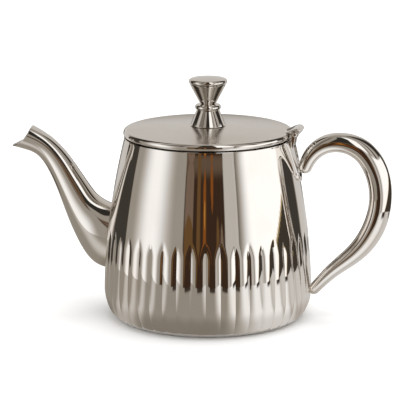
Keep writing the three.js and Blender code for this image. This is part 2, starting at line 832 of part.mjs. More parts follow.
addPiece('knob_washer', knobWasher(), brushed());
addPiece('knob_nut', knobNut(), brushed());

export default teapot;
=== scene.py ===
import bisect
import json
import math

import bmesh
import bpy
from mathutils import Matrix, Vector


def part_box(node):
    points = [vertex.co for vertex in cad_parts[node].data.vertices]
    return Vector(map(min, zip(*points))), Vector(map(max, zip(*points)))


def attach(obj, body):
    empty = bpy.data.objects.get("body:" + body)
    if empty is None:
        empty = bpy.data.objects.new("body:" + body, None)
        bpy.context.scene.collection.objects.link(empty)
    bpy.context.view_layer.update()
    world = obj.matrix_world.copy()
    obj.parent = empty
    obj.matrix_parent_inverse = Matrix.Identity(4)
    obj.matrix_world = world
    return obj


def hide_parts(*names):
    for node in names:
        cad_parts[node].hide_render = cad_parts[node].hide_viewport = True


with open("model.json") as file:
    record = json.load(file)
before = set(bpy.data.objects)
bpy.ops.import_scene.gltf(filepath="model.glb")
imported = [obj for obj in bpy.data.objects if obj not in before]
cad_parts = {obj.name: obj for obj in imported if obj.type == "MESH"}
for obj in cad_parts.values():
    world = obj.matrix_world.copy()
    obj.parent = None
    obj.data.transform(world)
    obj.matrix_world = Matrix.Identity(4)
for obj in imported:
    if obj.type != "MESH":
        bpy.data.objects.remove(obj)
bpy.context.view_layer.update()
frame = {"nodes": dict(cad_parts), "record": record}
mm = 0.001
print("frame loaded")


# general helpers

def toObjectMode():
    if bpy.context.mode != "OBJECT":
        bpy.ops.object.mode_set(mode="OBJECT")
    bpy.ops.object.select_all(action="DESELECT")


def pick(piece):
    toObjectMode()
    piece.select_set(True)
    bpy.context.view_layer.objects.active = piece


def editAll(piece):
    pick(piece)
    bpy.ops.object.mode_set(mode="EDIT")
    bpy.ops.mesh.select_all(action="SELECT")


def applyModifier(piece, kind, **settings):
    pick(piece)
    modifier = piece.modifiers.new(kind.lower(), kind)
    for setting, value in settings.items():
        setattr(modifier, setting, value)
    bpy.ops.object.modifier_apply(modifier=modifier.name)


def closeSeams(piece):
    editAll(piece)
    bpy.ops.mesh.remove_doubles(threshold=0.004 * mm)
    bpy.ops.mesh.dissolve_degenerate(threshold=0.0005 * mm)
    bpy.ops.mesh.select_all(action="SELECT")
    bpy.ops.mesh.normals_make_consistent(inside=False)
    toObjectMode()


def turnOutward(piece, direction):
    # an open shell can come out inside out: the face furthest along the direction must look that way
    furthest = max(piece.data.polygons, key=lambda face: face.center.dot(direction))
    if furthest.normal.dot(direction) < 0:
        editAll(piece)
        bpy.ops.mesh.flip_normals()
        toObjectMode()


def smooth(piece, degrees=35):
    pick(piece)
    bpy.ops.object.shade_smooth_by_angle(angle=math.radians(degrees))


def joinInto(piece, *others):
    pick(piece)
    for other in others:
        other.select_set(True)
    bpy.ops.object.join()
    return piece


def cutWith(piece, cutter, operation="DIFFERENCE"):
    applyModifier(piece, "BOOLEAN", object=cutter, operation=operation, solver="EXACT")
    pick(cutter)
    bpy.ops.object.delete()


def mix(low, high, share):
    return low + (high - low) * share


def ease(low, high, value):
    share = min(max((value - low) / (high - low), 0), 1)
    return share * share * (3 - 2 * share)


def smoothLine(knots, values):
    # a natural cubic spline through the values, so highlights run along it without kinks
    count = len(knots)
    spans = [b - a for a, b in zip(knots, knots[1:])]
    slopes = [(b - a) / s for a, b, s in zip(values, values[1:], spans)]
    bend = [0.0] * count
    carry = [0.0] * count
    for i in range(1, count - 1):
        pivot = 2 * (spans[i - 1] + spans[i]) - spans[i - 1] * carry[i - 1]
        carry[i] = spans[i] / pivot
        bend[i] = (6 * (slopes[i] - slopes[i - 1]) - spans[i - 1] * bend[i - 1]) / pivot
    for i in range(count - 2, 0, -1):
        bend[i] -= carry[i] * bend[i + 1]

    def at(place):
        i = min(max(bisect.bisect_right(knots, place) - 1, 0), count - 2)
        a = (knots[i + 1] - place) / spans[i]
        b = 1 - a
        curve = ((a ** 3 - a) * bend[i] + (b ** 3 - b) * bend[i + 1]) * spans[i] ** 2 / 6
        return a * values[i] + b * values[i + 1] + curve

    return at


def chordKnots(points):
    knots = [0.0]
    for a, b in zip(points, points[1:]):
        knots.append(knots[-1] + (Vector(b) - Vector(a)).length)
    return knots


def arc(centre, radii, start, end, count):
    # points of a round stretch in (radius, height), angles in degrees
    points = []
    for i in range(count + 1):
        angle = math.radians(mix(start, end, i / count))
        points.append((centre[0] + radii[0] * math.cos(angle), centre[1] + radii[1] * math.sin(angle)))
    return points


def drawOutline(name, points):
    # one vertex, drawn out point by point; points are (x, y, z) in millimetres
    toObjectMode()
    bpy.ops.mesh.primitive_plane_add(size=mm, location=Vector(points[0]) * mm)
    piece = bpy.context.object
    piece.name = name
    piece.data.name = name
    bpy.ops.object.transform_apply(location=True, rotation=True, scale=True)
    bpy.ops.object.mode_set(mode="EDIT")
    bpy.ops.mesh.select_all(action="SELECT")
    bpy.ops.mesh.merge(type="CENTER")
    for here, there in zip(points, points[1:]):
        step = (Vector(there) - Vector(here)) * mm
        bpy.ops.mesh.extrude_region_move(TRANSFORM_OT_translate={"value": step})
    return piece


def spunPiece(name, outline, turns=160, angle=35):
    # outline in (radius, height), on the axis at both ends or closed on itself
    piece = drawOutline(name, [(radius, 0, height) for radius, height in outline])
    bpy.ops.mesh.select_all(action="SELECT")
    bpy.ops.mesh.spin(steps=turns, angle=2 * math.pi, center=(0, 0, 0), axis=(0, 0, 1))
    toObjectMode()
    closeSeams(piece)
    smooth(piece, angle)
    return piece


def sidePlate(name, outline, low, high, bevel=0.25):
    # a plate whose side view is the outline in (x, z), from y = low to y = high
    piece = drawOutline(name, [(x, low, z) for x, z in outline])
    bpy.ops.mesh.select_all(action="SELECT")
    bpy.ops.mesh.edge_face_add()
    bpy.ops.mesh.extrude_region_move(TRANSFORM_OT_translate={"value": (0, (high - low) * mm, 0)})
    bpy.ops.mesh.select_all(action="SELECT")
    bpy.ops.mesh.normals_make_consistent(inside=False)
    toObjectMode()
    applyModifier(piece, "BEVEL", width=bevel * mm, segments=3, limit_method="ANGLE",
                  angle_limit=math.radians(50))
    smooth(piece, 40)
    return piece


def shapedGrid(name, across, along, place):
    # a grid whose points go to place(u, w), both from 0 to 1, in millimetres
    toObjectMode()
    bpy.ops.mesh.primitive_grid_add(x_subdivisions=across, y_subdivisions=along, size=1)
    piece = bpy.context.object
    piece.name = name
    piece.data.name = name
    for vertex in piece.data.vertices:
        vertex.co = Vector(place(vertex.co.x + 0.5, vertex.co.y + 0.5)) * mm
    piece.data.update()
    return piece


def finishPiece(piece, body, slotName, materials, *nodes):
    piece.data.materials.clear()
    for material in materials:
        piece.data.materials.append(material)
    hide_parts(*nodes)
    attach(piece, body)
    print("made", piece.name, len(piece.data.polygons), "faces")


# materials

polishValues = {
    "colour": (0.80, 0.765, 0.725, 1),
    "film": (0.76, 0.705, 0.64, 1),  # the faint warm film that polishing leaves in places
    "roughness": (0.018, 0.05),
    "smudgeScale": 55,
    "scratchScale": 900,
    "scratchDepth": 0.0000012,
    "waveScale": 38,
    "waveDepth": 0.00003,
}
softValues = {
    "colour": (0.78, 0.735, 0.69, 1),
    "film": (0.73, 0.675, 0.615, 1),
    "roughness": (0.19, 0.25),
    "smudgeScale": 45,
    "scratchScale": 1400,
    "scratchDepth": 0.000002,
    "waveScale": 38,
    "waveDepth": 0.00001,
}
satinValues = {
    "colour": (0.62, 0.60, 0.57, 1),
    "film": (0.50, 0.475, 0.44, 1),
    "roughness": (0.22, 0.38),
    "smudgeScale": 40,
    "scratchScale": 1600,
    "scratchDepth": 0.000006,
    "waveScale": 60,
    "waveDepth": 0.00002,
}


def metalMaterial(name, values, grain):
    # grain stretches the fine scratches, as the buffing wheel leaves them
    material = bpy.data.materials.new(name)
    material.use_nodes = True
    nodes = material.node_tree.nodes
    links = material.node_tree.links
    shader = nodes["Principled BSDF"]
    shader.inputs["Metallic"].default_value = 1
    coords = nodes.new("ShaderNodeTexCoord")

    def noise(scale, detail, stretch=None):
        texture = nodes.new("ShaderNodeTexNoise")
        texture.inputs["Scale"].default_value = scale
        texture.inputs["Detail"].default_value = detail
        source = coords.outputs["Object"]
        if stretch:
            mapping = nodes.new("ShaderNodeMapping")
            mapping.inputs["Scale"].default_value = stretch
            links.new(source, mapping.inputs["Vector"])
            source = mapping.outputs["Vector"]
        links.new(source, texture.inputs["Vector"])
        return texture.outputs["Fac"]

    smudge = noise(values["smudgeScale"], 5)
    spread = nodes.new("ShaderNodeMapRange")
    spread.inputs["From Min"].default_value = 0.35
    spread.inputs["From Max"].default_value = 0.7
    spread.inputs["To Min"].default_value = values["roughness"][0]
    spread.inputs["To Max"].default_value = values["roughness"][1]
    links.new(smudge, spread.inputs["Value"])
    links.new(spread.outputs["Result"], shader.inputs["Roughness"])

    tint = nodes.new("ShaderNodeValToRGB")
    tint.color_ramp.elements[0].position = 0.45
    tint.color_ramp.elements[0].color = values["colour"]
    tint.color_ramp.elements[1].position = 0.85
    tint.color_ramp.elements[1].color = values["film"]
    links.new(noise(values["smudgeScale"] * 0.6, 3), tint.inputs["Fac"])
    links.new(tint.outputs["Color"], shader.inputs["Base Color"])

    wave = nodes.new("ShaderNodeBump")
    wave.inputs["Distance"].default_value = values["waveDepth"]
    links.new(noise(values["waveScale"], 1), wave.inputs["Height"])
    scratch = nodes.new("ShaderNodeBump")
    scratch.inputs["Distance"].default_value = values["scratchDepth"]
    links.new(noise(values["scratchScale"], 2, grain), scratch.inputs["Height"])
    links.new(wave.outputs["Normal"], scratch.inputs["Normal"])
    links.new(scratch.outputs["Normal"], shader.inputs["Normal"])
    return material


polished = metalMaterial("polishedSilver", polishValues, (1, 1, 0.12))
polishedFlat = metalMaterial("polishedSilverFlat", polishValues, (0.3, 1, 1))
softPolish = metalMaterial("softSilver", softValues, (0.2, 1, 1))
satin = metalMaterial("satinSilver", satinValues, (0.15, 0.15, 1))
print("materials ready")


# pot body

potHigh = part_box("pot_shell")[1]
potValues = {
    "flatRadius": 54.5,  # where the underside turns up into the corner
    "seatRadius": 50,  # opening that the base disc sits in
    "bellyHeight": 18,
    "mouthRadius": 51.3,
    "taper": 1.75,
    "lipHeight": 1.6,  # the rim turns out a little
    "lipOut": 0.25,
    "sheet": 1.0,
    "lobes": 44,
    "lobeDepth": 0.95,
    "lobeFoot": 5,
    "lobeTop": 60,
    "lobeFade": 12,
    "across": 12,
    "holeHeight": 47.5,
    "holeHalf": (10.5, 19),
}
potHeight = potHigh.z / mm
halfLobe = math.pi / potValues["lobes"]
bellyRadius = potHigh.x / mm / math.cos(halfLobe)


def wallRadius(height):
    height = min(max(height, 0), potHeight)
    if height < potValues["bellyHeight"]:
        down = (potValues["bellyHeight"] - height) / potValues["bellyHeight"]
        return mix(potValues["flatRadius"], bellyRadius, math.sqrt(1 - down * down))
    up = (height - potValues["bellyHeight"]) / (potHeight - potValues["bellyHeight"])
    return mix(bellyRadius, potValues["mouthRadius"], up ** potValues["taper"])


def lobeDrop(share, height):
    # how far the wall is pressed in; share runs from -1 to 1 across a lobe, valleys at its ends
    foot = ease(0, potValues["lobeFoot"], height)
    rise = min(max((height - potValues["lobeTop"] + potValues["lobeFade"]) / potValues["lobeFade"], 0), 1)
    if rise >= 1:
        return 0
    edge = 0.75 * rise ** 1.5  # the valley narrows to a point as it runs out
    into = max(0, (abs(share) - edge) / (1 - edge))
    return potValues["lobeDepth"] * foot * (1 - ease(0, 1, rise)) * into ** 2


def potHeights():
    corner = [potValues["bellyHeight"] * (1 - math.cos(math.pi / 2 * i / 20)) for i in range(21)]
    fadeStart = potValues["lobeTop"] - potValues["lobeFade"]
    straight = [mix(potValues["bellyHeight"], fadeStart, i / 8) for i in range(1, 9)]
    fade = [mix(fadeStart, potValues["lobeTop"], i / 16) for i in range(1, 17)]
    upper = [mix(potValues["lobeTop"], potHeight - potValues["lipHeight"], i / 12) for i in range(1, 13)]
    lip = [mix(potHeight - potValues["lipHeight"], potHeight, i / 4) for i in range(1, 5)]
    return corner + straight + fade + upper + lip


def makePot():
    heights = potHeights()

    def place(u, w):
        row = round(w * len(heights))
        angle = (2 * u - 1) * halfLobe
        if row == 0:
            radius, height = potValues["seatRadius"], 0
        else:
            height = heights[row - 1]
            lip = ease(potHeight - potValues["lipHeight"], potHeight, height)
            radius = wallRadius(height) + potValues["lipOut"] * lip - lobeDrop(2 * u - 1, height)
        return radius * math.cos(angle), radius * math.sin(angle), height

    pot = shapedGrid("potBody", potValues["across"], len(heights), place)
    editAll(pot)
    bpy.ops.transform.rotate(value=-halfLobe, orient_axis="Z", center_override=(0, 0, 0))
    count = potValues["lobes"]
    bpy.ops.mesh.spin(steps=count - 1, dupli=True, angle=2 * math.pi * (count - 1) / count,
                      center=(0, 0, 0), axis=(0, 0, 1))
    toObjectMode()
    closeSeams(pot)
    turnOutward(pot, Vector((0, 1, 0)))
    editAll(pot)
    bpy.ops.mesh.select_all(action="DESELECT")
    mesh = bmesh.from_edit_mesh(pot.data)
    holeWide, holeHigh = potValues["holeHalf"]
    for face in mesh.faces:
        middle = face.calc_center_median() / mm
        reach = math.hypot(middle.y / holeWide, (middle.z - potValues["holeHeight"]) / holeHigh)
        face.select_set(middle.x < 0 and reach < 1)
    bmesh.update_edit_mesh(pot.data)
    bpy.ops.mesh.delete(type="FACE")
    toObjectMode()
    finishPiece(pot, "pot", "polished_metal", (polished, satin), "pot_shell")
    applyModifier(pot, "SOLIDIFY", thickness=potValues["sheet"] * mm, offset=-1,
                  use_rim=True, material_offset=1)
    applyModifier(pot, "BEVEL", width=0.22 * mm, segments=2, limit_method="ANGLE",
                  angle_limit=math.radians(65))
    smooth(pot, 30)
    return pot


makePot()

discValues = {"edge": 49.7, "middle": 43, "width": 4, "depth": 0.8, "slope": 1.5, "sheet": 1.0}


def makeDisc():
    inner = discValues["middle"] - discValues["width"] / 2
    outer = discValues["middle"] + discValues["width"] / 2
    steps = 6

    def side(offset):
        # the pressed ring rises and falls along two easy curves
        points = [(0, offset)]
        for i in range(steps + 1):
            share = i / steps
            radius = mix(inner - discValues["slope"], inner, share)
            points.append((radius, offset + discValues["depth"] * ease(0, 1, share)))
        for i in range(steps + 1):
            share = i / steps
            radius = mix(outer, outer + discValues["slope"], share)
            points.append((radius, offset + discValues["depth"] * (1 - ease(0, 1, share))))
        points.append((discValues["edge"], offset))
        return points

    outline = side(0) + side(discValues["sheet"])[::-1]
    disc = spunPiece("baseDisc", outline, 128)
    finishPiece(disc, "pot", "polished_metal", (polishedFlat,), "base_disc")


makeDisc()


# spout

spoutValues = {
    "rootHeight": 47.5,
    "upper": [(-10.7, 18.5), (-3, 20.2), (2.8, 22.6), (7.8, 26.2), (12.2, 31.8), (19.8, 42.8),
              (28.5, 54.2), (37.6, 62.4), (48.1, 68.4), (58.3, 73)],
    "lower": [(-10.7, -19.5), (0.3, -20.5), (9.3, -17), (17.8, -6.2), (24.8, 8.5), (31.6, 26.5),
              (38.8, 42.3), (45.1, 50.1), (52.7, 53.3), (63.3, 55.8)],
    "width": [25, 26, 25.5, 22.5, 19, 16, 14.2, 14, 15.8, 18.6],
    "mouthUpper": (48.1, 68.4),
    "mouthLip": (60.9, 55.2),
    "scoop": 2.3,
    "sink": 0.4,  # how deep the root is let into the pot's wall
    "sheet": 0.9,
    "flank": 2.12,  # 2 is a plain oval; more makes the flanks flatter
    "sides": 88,
    "rows": 120,
}


def spoutPlace(runAndRise):
    run, rise = runAndRise
    return (-wallRadius(spoutValues["rootHeight"]) - run, spoutValues["rootHeight"] + rise)


def firstTrue(test, low, high):
    for _ in range(30):
        middle = (low + high) / 2
        if test(middle):
            high = middle
        else:
            low = middle
    return high


def makeSpout():
    upper = [spoutPlace(point) for point in spoutValues["upper"]]
    lower = [spoutPlace(point) for point in spoutValues["lower"]]
    knots = chordKnots([(Vector(a) + Vector(b)) / 2 for a, b in zip(upper, lower)])
    lines = [smoothLine(knots, [point[i] for point in edge]) for edge in (upper, lower) for i in (0, 1)]
    widthAt = smoothLine(knots, spoutValues["width"])

    def skin(place, angle):
        topX, topZ, lowX, lowZ = [line(place) for line in lines]
        power = 2 / spoutValues["flank"]
        upward = math.copysign(abs(math.cos(angle)) ** power, math.cos(angle))
        outward = math.copysign(abs(math.sin(angle)) ** power, math.sin(angle))
        share = (1 + upward) / 2
        half = widthAt(place) / 2
        return Vector((mix(lowX, topX, share), half * outward, mix(lowZ, topZ, share)))

    corner = Vector(spoutPlace(spoutValues["mouthUpper"]))
    lip = Vector(spoutPlace(spoutValues["mouthLip"]))
    half = (corner - lip).length / 2
    scoop = spoutValues["scoop"]
    scoopRadius = (half * half + scoop * scoop) / (2 * scoop)
    out = Vector((lip.y - corner.y, corner.x - lip.x)).normalized()
    scoopCentre = (corner + lip) / 2 + out * (scoopRadius - scoop)

    def outOfWall(point):
        return math.hypot(point.x, point.y) > wallRadius(point.z) - spoutValues["sink"]

    def intoScoop(point):
        return (Vector((point.x, point.z)) - scoopCentre).length < scoopRadius

    ends = {}

    def endsAt(angle):
        key = round(math.degrees(angle), 3)
        if key not in ends:
            start = firstTrue(lambda place: outOfWall(skin(place, angle)), 0, knots[3])
            end = firstTrue(lambda place: intoScoop(skin(place, angle)), knots[6], knots[-1])
            ends[key] = (start, end)
        return ends[key]

    def place(u, w):
        angle = 2 * math.pi * u
        start, end = endsAt(angle)
        return skin(mix(start, end, w), angle)

    spout = shapedGrid("spoutBody", spoutValues["sides"], spoutValues["rows"], place)
    closeSeams(spout)
    turnOutward(spout, Vector((0, 1, 0)))
    finishPiece(spout, "pot", "polished_metal", (polished, satin), "spout_left_half", "spout_right_half")
    applyModifier(spout, "SOLIDIFY", thickness=spoutValues["sheet"] * mm, offset=-1, use_rim=True,
                  material_offset=1)
    applyModifier(spout, "BEVEL", width=0.25 * mm, segments=3, limit_method="ANGLE",
                  angle_limit=math.radians(60))
    smooth(spout, 40)


makeSpout()

strainerValues = {"half": (12.7, 21.2), "open": (10.5, 19), "thickness": 0.8, "clear": 2.2,
                  "hole": 1.2, "pitch": 4.8, "pierced": 0.85}


def makeStrainer():
    wide, high = strainerValues["half"]

    def place(u, w):
        angle = 2 * math.pi * u
        side, rise = w * wide * math.sin(angle), w * high * math.cos(angle)
        height = spoutValues["rootHeight"] + rise
        radius = wallRadius(height) - strainerValues["clear"]
        return -math.sqrt(radius ** 2 - side ** 2), side, height

    plate = shapedGrid("strainerPlate", 64, 24, place)
    closeSeams(plate)
    turnOutward(plate, Vector((-1, 0, 0)))
    applyModifier(plate, "SOLIDIFY", thickness=strainerValues["thickness"] * mm, offset=-1)
    openWide, openHigh = strainerValues["open"]
    pitch = strainerValues["pitch"]
    rows, columns = int(openHigh / pitch), int(openWide / pitch)
    punches = []
    for row in range(-rows, rows + 1):
        for column in range(-columns, columns + 1):
            rise, side = row * pitch, (column + math.fmod(row, 2) / 2) * pitch
            if math.hypot(rise / openHigh, side / openWide) < strainerValues["pierced"]:
                toObjectMode()
                bpy.ops.mesh.primitive_cylinder_add(
                    vertices=24, radius=strainerValues["hole"] * mm, depth=40 * mm,
                    location=(-60 * mm, side * mm, (spoutValues["rootHeight"] + rise) * mm),
                    rotation=(0, math.pi / 2, 0))
                punches.append(bpy.context.object)
    cutWith(plate, joinInto(*punches))
    smooth(plate, 30)
    finishPiece(plate, "pot", "satin_metal", (satin,), "spout_strainer")


makeStrainer()


# handle

handleValues = {
    "upperHeight": 91.4,
    "lowerHeight": 15.8,
    "upperSet": 1.25,  # the ends just touch what carries them
    "lowerSet": -0.35,
    "strapThick": 1.5,
    "gap": 0.3,
    "reach": 46.8,
    "endRound": 3.6,
    "drop": [0, -0.14, -0.235, -0.26, -0.21, -0.06, 0.17, 0.42, 0.63, 0.8, 1],
    "out": [0, 0.112, 0.298, 0.524, 0.77, 0.948, 1, 0.897, 0.658, 0.325, 0],
    "thick": [7.6, 9.7, 11.2, 12.2, 13.6, 14.6, 14, 13.8, 12, 9, 6.6],
    "sides": 64,
    "rows": 190,
}


def makeHandle():
    gap = handleValues["gap"]
    upperX = wallRadius(handleValues["upperHeight"]) + handleValues["strapThick"]
    upperX += handleValues["upperSet"] + gap
    lowerX = wallRadius(handleValues["lowerHeight"]) + handleValues["lowerSet"] + gap
    points = []
    for drop, out in zip(handleValues["drop"], handleValues["out"]):
        x = mix(upperX, lowerX, drop) + out * handleValues["reach"]
        points.append((x, mix(handleValues["upperHeight"], handleValues["lowerHeight"], drop)))
    knots = chordKnots(points)
    lineX = smoothLine(knots, [point[0] for point in points])
    lineZ = smoothLine(knots, [point[1] for point in points])
    thickAt = smoothLine(knots, handleValues["thick"])
    length = knots[-1]
    endRound = handleValues["endRound"]

    def place(u, w):
        # rows crowd towards the two rounded ends
        share = w - 0.9 * math.sin(2 * math.pi * w) / (2 * math.pi)
        along = length * share
        fromEnd = min(along, length - along, endRound)
        squeeze = math.sqrt(max(0, 1 - (1 - fromEnd / endRound) ** 2))
        nudge = 0.01
        runX = lineX(along + nudge) - lineX(along - nudge)
        runZ = lineZ(along + nudge) - lineZ(along - nudge)
        run = math.hypot(runX, runZ)
        half = thickAt(along) / 2 * squeeze
        angle = 2 * math.pi * u
        lift = half * math.cos(angle)
        return (lineX(along) - runZ / run * lift, half * math.sin(angle), lineZ(along) + runX / run * lift)

    handle = shapedGrid("handleTube", handleValues["sides"], handleValues["rows"], place)
    closeSeams(handle)
    smooth(handle, 60)
    finishPiece(handle, "pot", "polished_metal", (polished,), "handle_left_half", "handle_right_half")


makeHandle()


# hinge: strap on the wall, barrels, pin, and the ear on the lid

hingePoint = Vector(frame["record"]["behaviour"]["joints"][0]["pos_m"]) / mm
hingeX, hingeZ = hingePoint.x, hingePoint.z
hingeValues = {"radius": 2.1, "half": 8, "middle": 6, "gap": 0.25, "pin": 1.0, "upstand": 1.2,
               "pinHead": 1.5, "pinDome": 0.55}
strapValues = {"topHalf": 14.6, "tipHalf": 7.4, "length": 26, "web": 0.9, "rib": 1.9, "ribWide": 2.2,
               "tipRound": 6.5, "sink": 0.25}


def strapOutline(share):
    # half of the tongue's edge: down one side and round its tip; share from 0 to 1
    top = potHeight - 0.4
    sideLength = strapValues["length"] - strapValues["tipRound"]
    sideShare = 0.72
    if share < sideShare:
        down = share / sideShare
        half = mix(strapValues["topHalf"], strapValues["tipHalf"], down ** 0.9)
        return half, top - sideLength * down
    turn = (share - sideShare) / (1 - sideShare) * math.pi / 2
    low = top - sideLength - strapValues["tipRound"] * math.sin(turn)
    return strapValues["tipHalf"] * math.cos(turn), low


def makeStrap():
    tipStart = potHeight - 0.4 - strapValues["length"] + strapValues["tipRound"]
    ribWide = strapValues["ribWide"]

    def place(u, w):
        side = 1 if u < 0.5 else -1
        half, height = strapOutline(min(2 * u, 2 - 2 * u))
        spine = max(height, tipStart)
        inward = w ** 1.6
        across = half * (1 - inward)
        level = mix(height, spine, inward)
        fromEdge = inward * math.hypot(half, spine - height)
        bump = max(0, 1 - (fromEdge / (ribWide / 2) - 1) ** 2) ** 0.5 if fromEdge < ribWide else 0
        web = strapValues["web"] * ease(0, ribWide, fromEdge)
        lift = max(strapValues["rib"] * bump, web) - strapValues["sink"]
        radius = wallRadius(level) + lift
        angle = side * across / wallRadius(level)
        return radius * math.cos(angle), radius * math.sin(angle), level

    strap = shapedGrid("hingeStrap", 120, 40, place)
    closeSeams(strap)
    turnOutward(strap, Vector((1, 0, 0)))
    applyModifier(strap, "SOLIDIFY", thickness=0.5 * mm, offset=-1)
    inner = potValues["mouthRadius"] + 0.2
    barrelBack = hingeX - hingeValues["radius"]
    split = hingeValues["middle"] / 2 + hingeValues["gap"]
    barrels = []
    for low, high in ((-hingeValues["half"], -split), (split, hingeValues["half"])):
        outline = arc((hingeX, hingeZ), (hingeValues["radius"],) * 2, 180, -90, 30)
        outline += [
            (hingeX - 0.1, potHeight + 0.6),
            (inner + hingeValues["upstand"] + 1.3, potHeight - 2.2),
            (inner + hingeValues["upstand"] + 0.9, potHeight - 4.5),
            (inner + 0.4, potHeight - 4.5),
            (inner, potHeight - 0.8),
            (barrelBack, potHeight + 1.0),
        ]
        barrels.append(sidePlate("barrel", outline, low, high, 0.22))
    joinInto(strap, *barrels)
    smooth(strap, 40)
    finishPiece(strap, "pot", "polished_metal", (polished,), "hinge_strap")


makeStrap()


def makePin():
    # the pin's ends are peened over into low domes
    half = hingeValues["half"]
    head, dome = hingeValues["pinHead"], hingeValues["pinDome"]
    outline = [(0, -half - dome)] + arc((0, -half), (head, dome), -85, 0, 6)
    outline += [(hingeValues["pin"], -half + 0.01), (hingeValues["pin"], half - 0.01)]
    outline += arc((0, half), (head, dome), 0, 85, 6) + [(0, half + dome)]
    pin = spunPiece("hingePin", outline, 32)
    pick(pin)
    pin.rotation_euler = (math.pi / 2, 0, 0)
    pin.location = (hingeX * mm, 0, hingeZ * mm)
    bpy.ops.object.transform_apply(location=True, rotation=True, scale=True)
    finishPiece(pin, "pot", "polished_metal", (polished,), "hinge_pin")


makePin()


# lid

lidLow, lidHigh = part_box("lid_shell")
flangeLow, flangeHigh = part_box("lid_flange")
lidValues = {"dome": 2.1, "beadHeight": 4.5, "beadDepth": 2.0, "sheet": 1.0, "bore": 2.3}
lidUnder = lidLow.z / mm
lidRadius = lidHigh.y / mm
lidEdge = lidUnder + lidValues["beadHeight"]
domeRadius = lidRadius - lidValues["beadDepth"]


def lidTop(radius):
    return lidEdge + lidValues["dome"] * (1 - (radius / domeRadius) ** 2)


def makeLid():
    steps = 14
    top = [mix(lidValues["bore"], domeRadius, i / steps) for i in range(steps + 1)]
    beadRound = lidValues["beadHeight"] / 2
    outline = [(radius, lidTop(radius)) for radius in top]
    outline += arc((domeRadius, lidUnder + beadRound), (lidValues["beadDepth"], beadRound), 84, -90, 22)
    inner = domeRadius - lidValues["sheet"]
    outline += arc((inner, lidUnder + 0.5), (0.5, 0.5), -90, -180, 4)
    outline.append((inner - 0.5, lidUnder + 2))
    under = [mix(inner - 1.5, lidValues["bore"], i / steps) for i in range(steps + 1)]
    outline += [(radius, lidTop(radius) - lidValues["sheet"]) for radius in under]
    outline.append(outline[0])
    lid = spunPiece("lidCover", outline, 192, 25)
    finishPiece(lid, "lid", "polished_metal", (polishedFlat, softPolish), "lid_shell")
    # the top is buffed softer than the bead round it
    for face in lid.data.polygons:
        middle = face.center / mm
        onTop = face.normal.z > 0.9 and middle.z > lidTop(math.hypot(middle.x, middle.y)) - 0.5
        face.material_index = 1 if onTop and math.hypot(middle.x, middle.y) < domeRadius - 0.2 else 0


makeLid()


def makeFlange():
    outer = flangeHigh.y / mm
    inner = outer - 1.0
    top, bottom = flangeHigh.z / mm, flangeLow.z / mm
    outline = [(inner, top), (outer, top), (outer, bottom + 0.6)]
    outline += arc((outer - 0.6, bottom + 0.6), (0.6, 0.6), 0, -80, 4)
    outline += [(inner, bottom), (inner, top)]
    flange = spunPiece("lidFlange", outline, 144)
    finishPiece(flange, "lid", "satin_metal", (satin,), "lid_flange")


makeFlange()

earValues = {
    "line": [(45.5, 116.7), (48.4, 117.1), (51.4, 118.25), (54.4, 119.5), (56.8, 119.6), (58.0, 118.6),
             (58.1, 117.6)],
    "thick": [0.5, 0.9, 1.2, 1.4, 1.4, 1.3, 1.1],
    "half": [6.0, 6.8, 7.6, 8.2, 8.2, 7.4, 6.4],
    "endRound": 0.8,
    "sides": 56,
    "rows": 80,
}


def makeEar():
    points = earValues["line"]
    knots = chordKnots(points)
    lineX = smoothLine(knots, [point[0] for point in points])
    lineZ = smoothLine(knots, [point[1] for point in points])
    thickAt = smoothLine(knots, earValues["thick"])
    halfAt = smoothLine(knots, earValues["half"])
    length = knots[-1]
    endRound = earValues["endRound"]

    def place(u, w):
        share = w - 0.8 * math.sin(2 * math.pi * w) / (2 * math.pi)
        along = length * share
        fromEnd = min(along, length - along, endRound)
        squeeze = math.sqrt(max(0, 1 - (1 - fromEnd / endRound) ** 2))
        nudge = 0.01
        runX = lineX(along + nudge) - lineX(along - nudge)
        runZ = lineZ(along + nudge) - lineZ(along - nudge)
        run = math.hypot(runX, runZ)
        angle = 2 * math.pi * u
        # flat on both faces and round at the edges
        rise, across = math.sin(angle), math.cos(angle)
        lift = thickAt(along) / 2 * squeeze * math.copysign(abs(rise) ** 0.35, rise)
        side = (halfAt(along) - endRound * (1 - squeeze)) * math.copysign(abs(across) ** 0.8, across)
        return lineX(along) - runZ / run * lift, side, lineZ(along) + runX / run * lift

    ear = shapedGrid("lidEar", earValues["sides"], earValues["rows"], place)
    closeSeams(ear)
    half = hingeValues["middle"] / 2
    radius = hingeValues["radius"]
    outline = arc((hingeX, hingeZ), (radius, radius), -180, 60, 30)
    outline += [(hingeX + 0.9, hingeZ + 3.4), (hingeX - radius, hingeZ + 3.0)]
    knuckle = sidePlate("knuckle", outline, -half, half, 0.22)
    joinInto(ear, knuckle)
    smooth(ear, 50)
    finishPiece(ear, "lid", "polished_metal", (polished,), "lid_hinge_leaf")


makeEar()


# knob

knobValues = {
    "bore": 2.3,
    "neck": 6.9,
    "waist": 4.8,
    "sheet": 1.0,
    "footRim": 0.7,
    "capRim": 1.7,
    "capWall": 0.6,
    "coneSeat": 0.28,  # each piece reaches this far down, or up, to the one it sits on
    "beadSeat": 0.29,
    "capSeat": 0.24,
}


def knobBox(node):
    low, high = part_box(node)
    return low.z / mm, high.z / mm, high.y / mm


